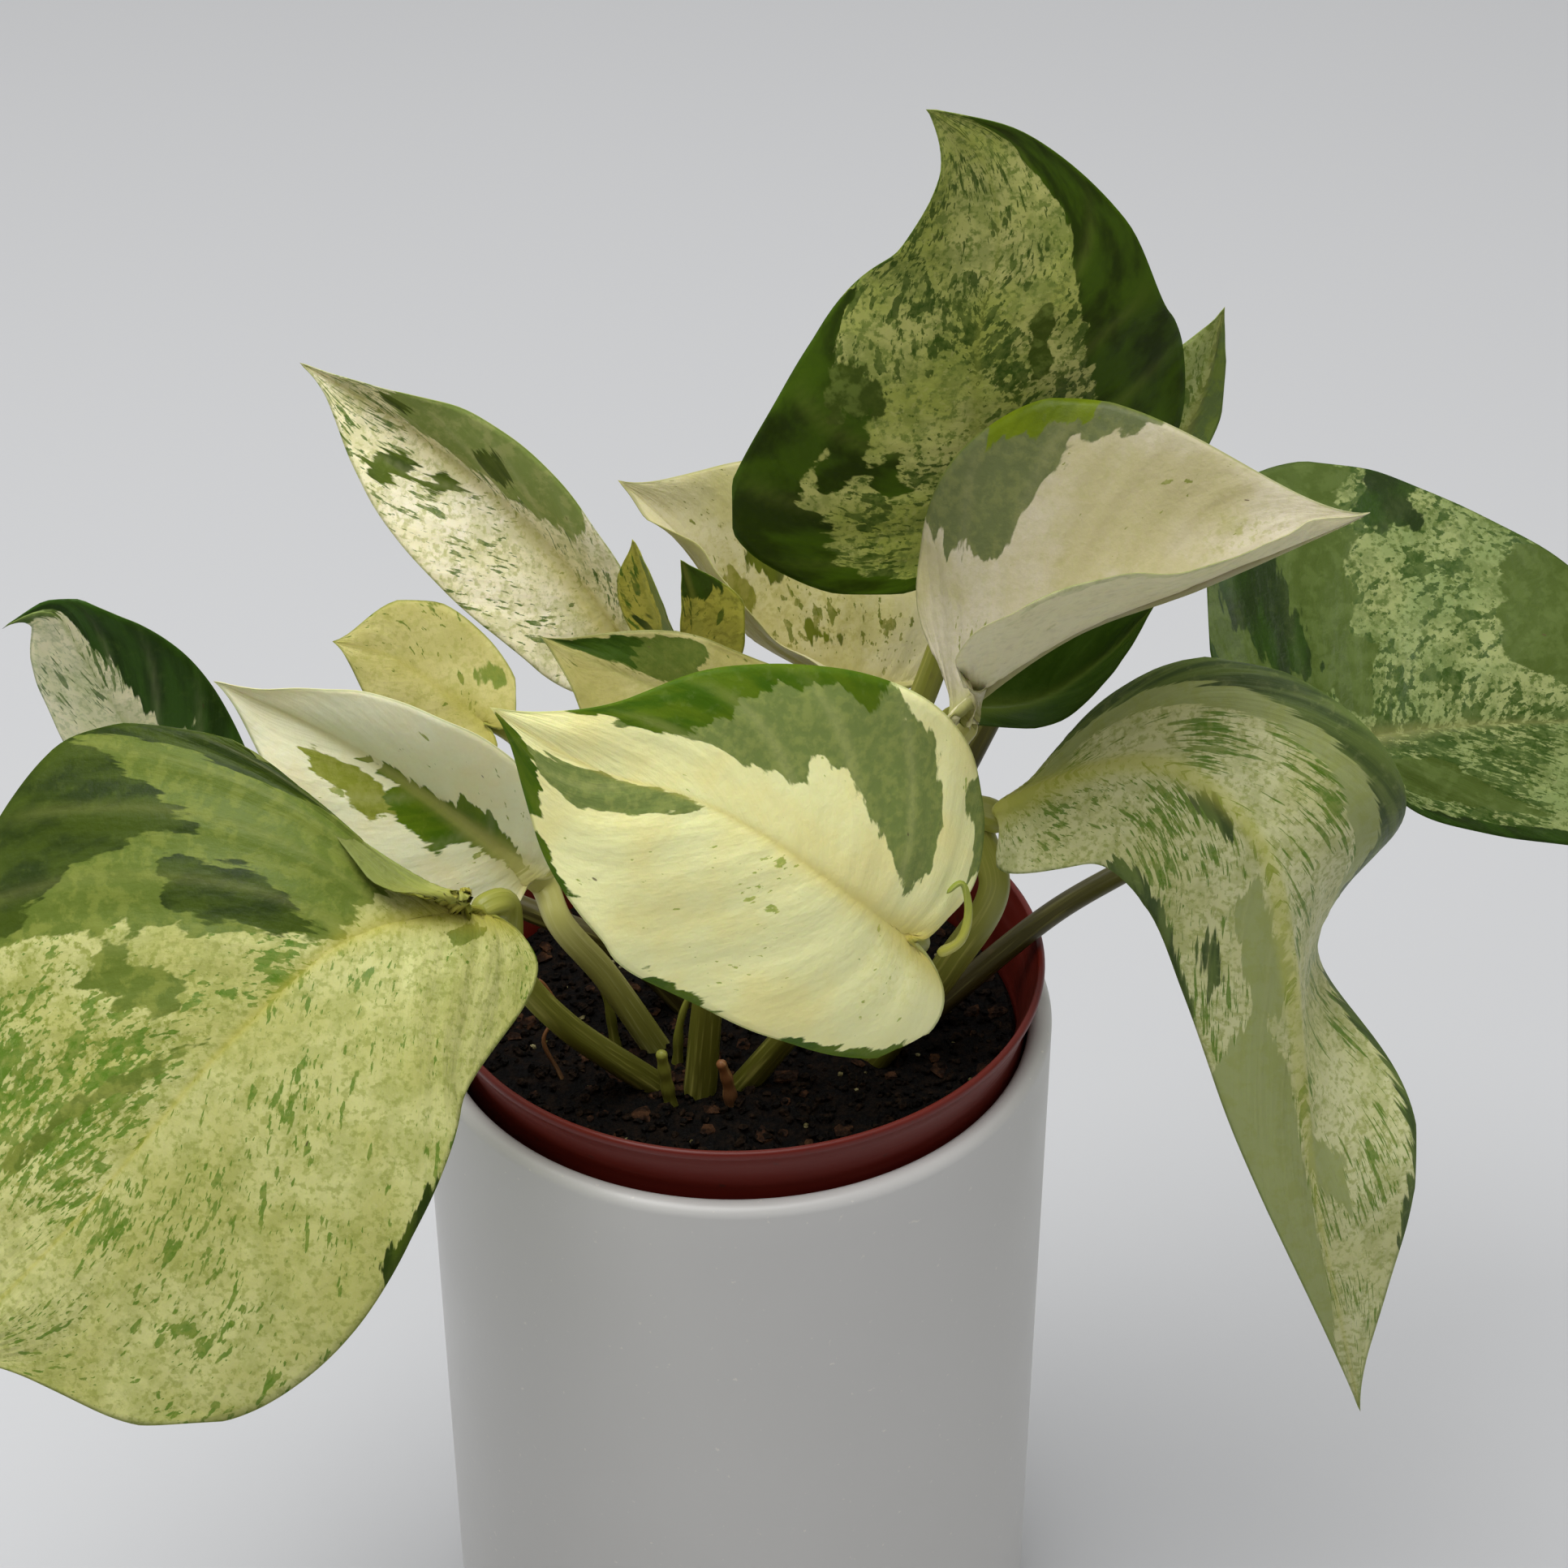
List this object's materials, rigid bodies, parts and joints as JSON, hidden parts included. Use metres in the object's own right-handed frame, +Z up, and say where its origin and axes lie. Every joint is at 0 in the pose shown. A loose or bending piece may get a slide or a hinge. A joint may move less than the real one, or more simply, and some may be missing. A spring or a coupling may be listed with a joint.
{
  "type": "potted trailing plant",
  "caption": "Small trailing house plant with variegated heart-shaped leaves, in a nursery pot that sits in the mouth of a plain white cover pot.",
  "frame": {"origin": "middle of the cover pot's underside", "axes": "+Z up along the cover pot's axis; the plant's front, where the nursery rim and soil show, faces -Y"},
  "size_m": [0.2622, 0.1325, 0.27],
  "materials": {
    "cover_glaze": "satin",
    "nursery_plastic": "satin",
    "soil": "matte",
    "blade_cream": "satin",
    "blade_speckled": "satin",
    "blade_green": "satin",
    "stalk_green": "satin",
    "dry_sheath": "matte"
  },
  "bodies": {
    "root": {"cover_pot": "cover_glaze", "nursery_pot": "nursery_plastic", "soil": "soil", "leaf_back_cream": "blade_cream", "leaf_back_left": "blade_cream", "leaf_back_right": "blade_green", "leaf_crescent": "blade_green", "leaf_far_left": "blade_green", "leaf_far_right": "blade_green", "leaf_front_centre": "blade_cream", "leaf_front_left": "blade_speckled", "leaf_front_right": "blade_speckled", "leaf_left_cream": "blade_cream", "leaf_right_cream": "blade_cream", "leaf_round_back": "blade_cream", "leaf_top": "blade_green", "leaf_wedge": "blade_cream", "leaf_young_left": "blade_cream", "leaf_young_right": "blade_cream", "stalk_back_cream": "stalk_green", "stalk_back_left": "stalk_green", "stalk_back_right": "stalk_green", "stalk_crescent": "stalk_green", "stalk_far_left": "stalk_green", "stalk_far_right": "stalk_green", "stalk_front_centre": "stalk_green", "stalk_front_left": "stalk_green", "stalk_front_right": "stalk_green", "stalk_left_cream": "stalk_green", "stalk_right_cream": "stalk_green", "stalk_round_back": "stalk_green", "stalk_top": "stalk_green", "stalk_wedge": "stalk_green", "stalk_young_left": "stalk_green", "shoot_left": "stalk_green", "shoot_middle": "stalk_green", "stub_pale": "stalk_green", "stub_dry": "dry_sheath", "strand_dry": "dry_sheath", "sheath": "dry_sheath"}
  },
  "joints": []
}
